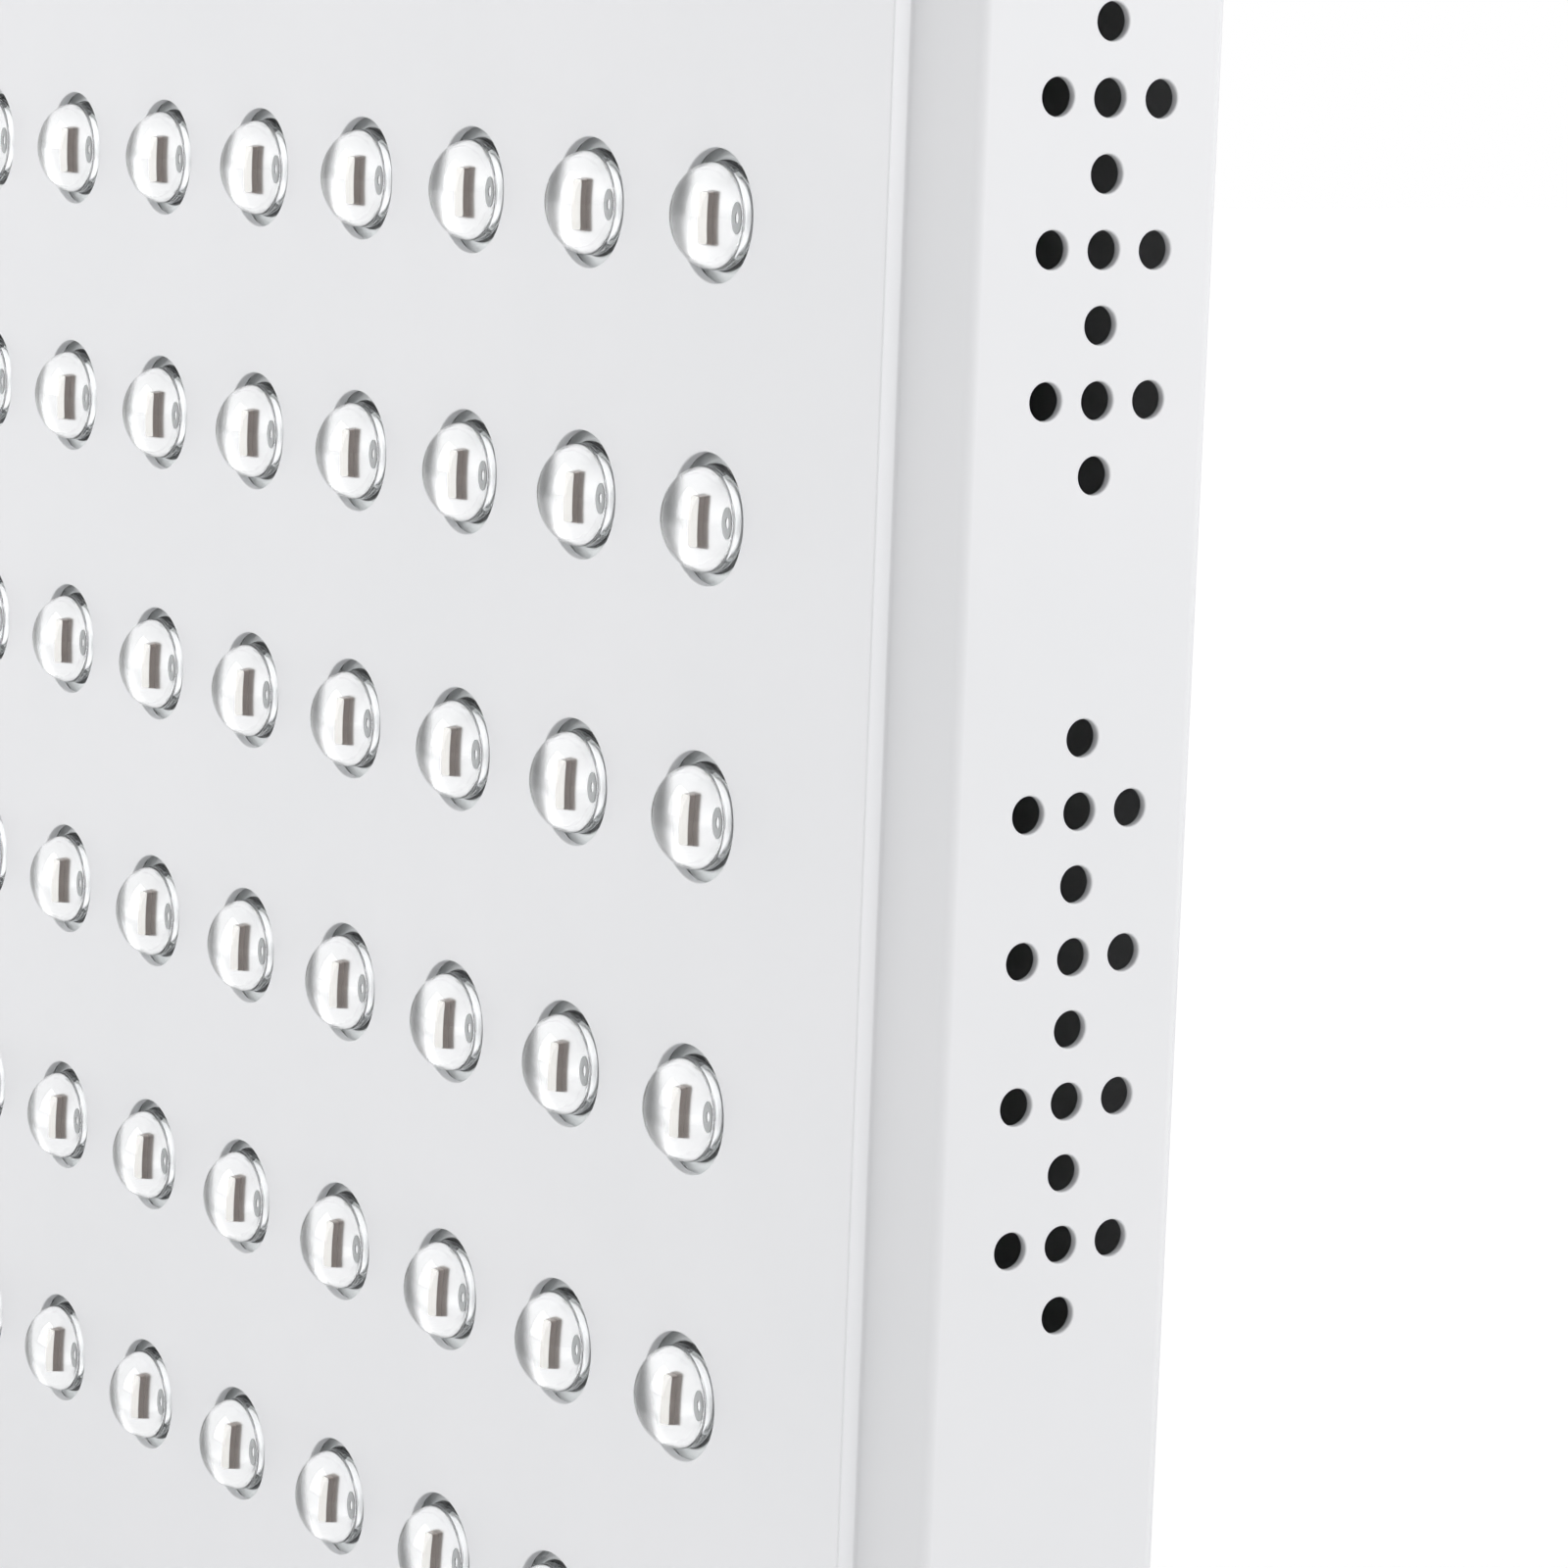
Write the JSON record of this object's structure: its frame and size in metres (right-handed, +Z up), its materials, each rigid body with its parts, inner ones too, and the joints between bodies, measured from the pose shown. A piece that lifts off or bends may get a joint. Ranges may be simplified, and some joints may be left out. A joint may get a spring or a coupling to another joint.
{
  "type": "red light therapy panel",
  "caption": "White sheet-metal light panel with a grid of clear domed lenses, vented sides, rear fans, fused inlet and rocker switches.",
  "frame": {"origin": "on the standing surface, under the middle of the panel's width and of its whole depth", "axes": "+Z up, -Y out of the lens face, +X to the right seen from the front"},
  "size_m": [0.252, 0.0484, 0.3857],
  "materials": {
    "white_powder_coat": "fine matt powder coat",
    "clear_lens": "clear moulded acrylic, polished",
    "white_board": "white solder mask",
    "aluminium": "mill finish extrusion",
    "black_plastic": "fine moulded texture",
    "gloss_black_plastic": "moulded, satin gloss",
    "grey_plastic": "moulded",
    "bright_steel": "bright nickel plate",
    "plated_blade": "nickel plated brass",
    "rubber": "moulded rubber",
    "fuse_glass": "clear tube"
  },
  "bodies": {
    "panel": {"cover_screw_1": "bright_steel", "cover_screw_2": "bright_steel", "cover_screw_3": "bright_steel", "cover_screw_4": "bright_steel", "cover_screw_5": "bright_steel", "cover_screw_6": "bright_steel", "earth_blade": "plated_blade", "eye_nut_left": "bright_steel", "eye_nut_right": "bright_steel", "foot_front_left": "rubber", "foot_front_right": "rubber", "foot_rear_left": "rubber", "foot_rear_right": "rubber", "front_plate": "white_powder_coat", "hanging_eye_left": "bright_steel", "hanging_eye_right": "bright_steel", "heat_sink": "aluminium", "housing_shell": "white_powder_coat", "infrared_driver": "grey_plastic", "infrared_driver_lead": "black_plastic", "infrared_supply_lead": "black_plastic", "infrared_switch_body": "black_plastic", "inlet_lead": "black_plastic", "inlet_screw_left": "bright_steel", "inlet_screw_right": "bright_steel", "led_board_1": "clear_lens", "led_board_2": "clear_lens", "led_board_3": "clear_lens", "led_board_4": "clear_lens", "live_blade": "plated_blade", "lower_fan_frame": "black_plastic", "lower_fan_guard": "bright_steel", "lower_fan_screw_1": "bright_steel", "lower_fan_screw_2": "bright_steel", "lower_fan_screw_3": "bright_steel", "lower_fan_screw_4": "bright_steel", "neutral_blade": "plated_blade", "power_inlet": "black_plastic", "rear_cover": "white_powder_coat", "red_driver": "grey_plastic", "red_driver_lead": "black_plastic", "red_supply_lead": "black_plastic", "red_switch_body": "black_plastic", "terminal_block": "grey_plastic", "upper_fan_frame": "black_plastic", "upper_fan_guard": "bright_steel", "upper_fan_screw_1": "bright_steel", "upper_fan_screw_2": "bright_steel", "upper_fan_screw_3": "bright_steel", "upper_fan_screw_4": "bright_steel"},
    "upper_fan": {"upper_fan_rotor": "black_plastic"},
    "lower_fan": {"lower_fan_rotor": "black_plastic"},
    "red_rocker": {"red_rocker": "gloss_black_plastic"},
    "infrared_rocker": {"infrared_rocker": "gloss_black_plastic"},
    "fuse_drawer": {"fuse_drawer": "grey_plastic", "fuse": "fuse_glass"}
  },
  "joints": [
    {"name": "upper_fan_spin", "type": "hinge", "parent": "panel", "child": "upper_fan", "pos_m": [0, 0.00985, 0.2555], "axis": [0, 1, 0], "continuous": true},
    {"name": "lower_fan_spin", "type": "hinge", "parent": "panel", "child": "lower_fan", "pos_m": [0, 0.00985, 0.1475], "axis": [0, 1, 0], "continuous": true},
    {"name": "red_rocker_tilt", "type": "hinge", "parent": "panel", "child": "red_rocker", "pos_m": [0.052, 0.01935, 0.0333], "axis": [1, 0, 0], "range_deg": [0, 20]},
    {"name": "infrared_rocker_tilt", "type": "hinge", "parent": "panel", "child": "infrared_rocker", "pos_m": [0.078, 0.01935, 0.0333], "axis": [1, 0, 0], "range_deg": [0, 20]},
    {"name": "fuse_drawer_slide", "type": "slide", "parent": "panel", "child": "fuse_drawer", "axis": [0, 1, 0], "range_m": [0, 0.012]}
  ]
}
